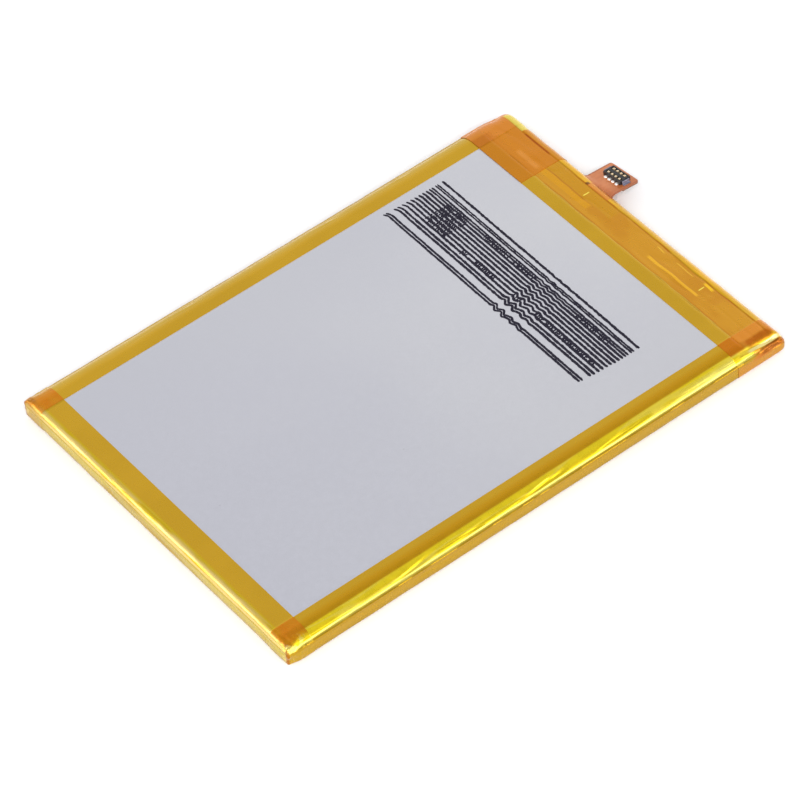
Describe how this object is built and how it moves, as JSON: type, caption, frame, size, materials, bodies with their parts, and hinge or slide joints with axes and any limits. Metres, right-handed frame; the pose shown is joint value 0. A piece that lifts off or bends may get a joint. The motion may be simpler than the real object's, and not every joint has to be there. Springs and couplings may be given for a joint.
{
  "type": "pouch battery cell",
  "caption": "Flat lithium pouch cell pack with folded side seams, amber tape round all four edges and a short flex tail ending in a board-to-board connector.",
  "frame": {"origin": "centre of the pack's bare back face, without the flex tail", "axes": "+Z out of the silver front face, +Y towards the head end with the board and the flex tail, +X to the right seen from the front"},
  "size_m": [0.0666, 0.0991, 0.004],
  "materials": {
    "laminate_foil": "satin aluminium laminate, cool silver grey",
    "amber_tape": "clear amber film, glossy, shows the foil through it",
    "copper_foil": "coated copper foil",
    "aluminium_foil": "bright foil",
    "separator_film": "microporous white film",
    "tab_sealant": "heat-sealed polymer film",
    "nickel": "nickel plated",
    "board_laminate": "solder mask over glass epoxy",
    "foam": "closed-cell foam pad",
    "insulating_paper": "insulating fish paper",
    "chip_moulding": "black epoxy moulding",
    "chip_ceramic": "sintered ceramic with tinned ends",
    "flex_film": "copper-backed polyimide coverlay",
    "stiffener_sheet": "polyimide stiffener",
    "connector_moulding": "black liquid crystal polymer",
    "gold_plate": "gold over nickel plating"
  },
  "bodies": {
    "pack": {"pouch_cup": "laminate_foil", "pouch_cover": "laminate_foil", "anode_strip": "copper_foil", "cathode_strip": "aluminium_foil", "separator_inner": "separator_film", "separator_outer": "separator_film", "positive_tab": "aluminium_foil", "negative_tab": "nickel", "positive_tab_sealant": "tab_sealant", "negative_tab_sealant": "tab_sealant", "positive_weld_plate": "nickel", "negative_weld_plate": "nickel", "protection_board": "board_laminate", "board_spacer": "foam", "board_insulator": "insulating_paper", "protection_ic": "chip_moulding", "mosfet_1": "chip_moulding", "mosfet_2": "chip_moulding", "thermal_cutoff": "chip_moulding", "thermistor": "chip_ceramic", "resistor_1": "chip_moulding", "resistor_2": "chip_moulding", "resistor_3": "chip_moulding", "capacitor_1": "chip_ceramic", "capacitor_2": "chip_ceramic", "capacitor_3": "chip_ceramic", "flex_root": "flex_film", "side_tape_left": "amber_tape", "side_tape_right": "amber_tape", "tail_tape": "amber_tape", "head_tape": "amber_tape", "head_corner_tape": "amber_tape"},
    "flex_tail": {"flex_tail": "flex_film", "stiffener": "stiffener_sheet", "connector_housing": "connector_moulding", "contact_1": "gold_plate", "contact_2": "gold_plate", "contact_3": "gold_plate", "contact_4": "gold_plate", "contact_5": "gold_plate", "contact_6": "gold_plate", "contact_7": "gold_plate", "contact_8": "gold_plate", "hold_down_left": "nickel", "hold_down_right": "nickel"}
  },
  "joints": [
    {"name": "flex_bend", "type": "hinge", "parent": "pack", "child": "flex_tail", "pos_m": [-0.0104, 0.04735, 0.00244], "axis": [1, 0, 0], "range_deg": [-70, 90], "stiffness_Nm_per_rad": 0.002}
  ]
}
